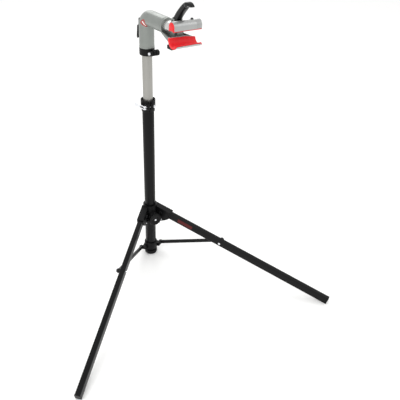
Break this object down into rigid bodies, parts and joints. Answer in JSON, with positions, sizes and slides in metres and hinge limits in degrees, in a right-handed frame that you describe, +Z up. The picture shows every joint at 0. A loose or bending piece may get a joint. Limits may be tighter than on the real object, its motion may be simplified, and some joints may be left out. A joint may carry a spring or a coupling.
{
  "type": "folding repair stand",
  "caption": "Folding workshop stand with a telescopic mast, hinged braced legs, a swivelling elbow head and a rubber lined cam clamp for holding a tube.",
  "frame": {"origin": "centre of the mast foot's flat underside, on the floor and on the mast's axis", "axes": "+Z up along the mast, -Y to the front midway between the legs, +X to the right leg's side"},
  "size_m": [1.0382, 0.6558, 1.1118],
  "materials": {
    "black_powder": "satin black powder coat on steel tube",
    "black_plastic": "fine spark-eroded black nylon",
    "bush_plastic": "plain natural nylon",
    "silver_tube": "drawn and satin anodised",
    "cast_silver": "silver powder coat on die cast aluminium",
    "bright_aluminium": "bright machined and anodised",
    "red_rubber": "matt moulded rubber",
    "gloss_black": "gloss moulded glass-filled nylon",
    "chrome": "bright chrome plate",
    "dark_steel": "black oxide"
  },
  "bodies": {
    "mast": {"outer_tube": "black_powder", "mast_foot": "black_plastic", "strut_collar": "black_plastic", "strut_pivot_bolts": "dark_steel", "height_collar": "black_plastic", "guide_bush": "bush_plastic", "height_skewer": "chrome", "height_nut": "chrome"},
    "height_lever_body": {"height_lever": "chrome"},
    "inner_mast": {"inner_tube": "silver_tube", "inner_plug": "bush_plastic"},
    "head": {"head_casting": "cast_silver", "swivel_collar": "black_plastic", "swivel_screw": "chrome", "barrel_bush": "bush_plastic", "lock_shoe": "dark_steel", "lock_rod": "dark_steel", "lock_pin": "dark_steel"},
    "swivel_knob_body": {"swivel_knob": "black_plastic"},
    "lock_lever_body": {"lock_lever": "black_plastic"},
    "clamp": {"clamp_shaft": "bright_aluminium", "shaft_ring": "dark_steel", "clamp_body": "cast_silver", "lower_jaw": "bright_aluminium", "lower_pad": "red_rubber", "jaw_tail": "black_plastic", "cam_pin": "dark_steel"},
    "upper_jaw_body": {"upper_jaw": "bright_aluminium", "upper_pad": "red_rubber", "jaw_carriage": "cast_silver", "jaw_adjuster": "black_plastic"},
    "handle_body": {"cam_handle": "gloss_black", "handle_tip": "gloss_black"},
    "hub": {"hub_casting": "black_plastic", "hub_bush": "bush_plastic", "leg_pivot_bolts": "dark_steel", "leg_pivot_nuts": "chrome", "hub_screws": "chrome"},
    "hub_knob_body": {"hub_knob": "black_plastic", "knob_stud": "chrome"},
    "leg_right": {"leg_tube_right": "black_powder", "leg_plug_right": "bush_plastic", "leg_cap_right": "black_plastic", "strut_nut_right": "chrome"},
    "strut_right": {"strut_bar_right": "black_powder", "strut_bolt_right": "dark_steel"},
    "leg_left": {"leg_tube_left": "black_powder", "leg_plug_left": "bush_plastic", "leg_cap_left": "black_plastic", "strut_nut_left": "chrome"},
    "strut_left": {"strut_bar_left": "black_powder", "strut_bolt_left": "dark_steel"}
  },
  "joints": [
    {"name": "height_slide", "type": "slide", "parent": "mast", "child": "inner_mast", "axis": [0, 0, 1], "range_m": [-0.16, 0.38]},
    {"name": "head_swivel", "type": "hinge", "parent": "inner_mast", "child": "head", "pos_m": [0, 0, 0.912], "axis": [0, 0, 1], "continuous": true},
    {"name": "swivel_knob_turn", "type": "hinge", "parent": "head", "child": "swivel_knob_body", "pos_m": [0.02378, -0.03247, 0.901], "axis": [0.9859, 0.1676, 0], "range_deg": [-360, 360]},
    {"name": "lock_lever_turn", "type": "hinge", "parent": "head", "child": "lock_lever_body", "pos_m": [-0.00587, 0.0345, 1], "axis": [0.9859, 0.1676, 0], "range_deg": [0, 100]},
    {"name": "clamp_turn", "type": "hinge", "parent": "head", "child": "clamp", "pos_m": [0.02062, -0.12126, 1.016], "axis": [0.1676, -0.9859, 0], "continuous": true},
    {"name": "handle_turn", "type": "hinge", "parent": "clamp", "child": "handle_body", "pos_m": [0.03039, -0.17437, 1.04399], "axis": [0.9855, 0.1676, -0.0262], "range_deg": [-10, 45]},
    {"name": "jaw_slide", "type": "slide", "parent": "clamp", "child": "upper_jaw_body", "axis": [0.0258, 0.0044, 0.9997], "range_m": [-0.0242, 0.0055]},
    {"name": "height_lever_turn", "type": "hinge", "parent": "mast", "child": "height_lever_body", "pos_m": [-0.02543, -0.02903, 0.703], "axis": [0, 0, 1], "range_deg": [0, 110]},
    {"name": "hub_slide", "type": "slide", "parent": "mast", "child": "hub", "axis": [0, 0, 1], "range_m": [0, 0.39607]},
    {"name": "hub_knob_turn", "type": "hinge", "parent": "hub", "child": "hub_knob_body", "pos_m": [0, -0.044, 0.20699], "axis": [0, -1, 0], "range_deg": [-360, 360]},
    {"name": "leg_right_fold", "type": "hinge", "parent": "hub", "child": "leg_right", "pos_m": [0.04277, -0.02703, 0.22379], "axis": [0.7742, 0.633, 0], "range_deg": [0, 70.1]},
    {"name": "strut_right_fold", "type": "hinge", "parent": "mast", "child": "strut_right", "pos_m": [0.04423, -0.00259, 0.04], "axis": [-0.7742, -0.633, 0], "range_deg": [0, 62.38]},
    {"name": "leg_left_fold", "type": "hinge", "parent": "hub", "child": "leg_left", "pos_m": [-0.04277, -0.02703, 0.22379], "axis": [0.7742, -0.633, 0], "range_deg": [0, 70.1]},
    {"name": "strut_left_fold", "type": "hinge", "parent": "mast", "child": "strut_left", "pos_m": [-0.04423, -0.00259, 0.04], "axis": [-0.7742, 0.633, 0], "range_deg": [0, 62.38]}
  ],
  "couplings": [
    {"joint": "jaw_slide", "follows": "handle_turn", "m_per_rad": -0.030558},
    {"joint": "leg_right_fold", "follows": "hub_slide", "rad_per_m": 3.0868},
    {"joint": "strut_right_fold", "follows": "hub_slide", "rad_per_m": 2.7464},
    {"joint": "leg_left_fold", "follows": "hub_slide", "rad_per_m": 3.0868},
    {"joint": "strut_left_fold", "follows": "hub_slide", "rad_per_m": 2.7464}
  ]
}
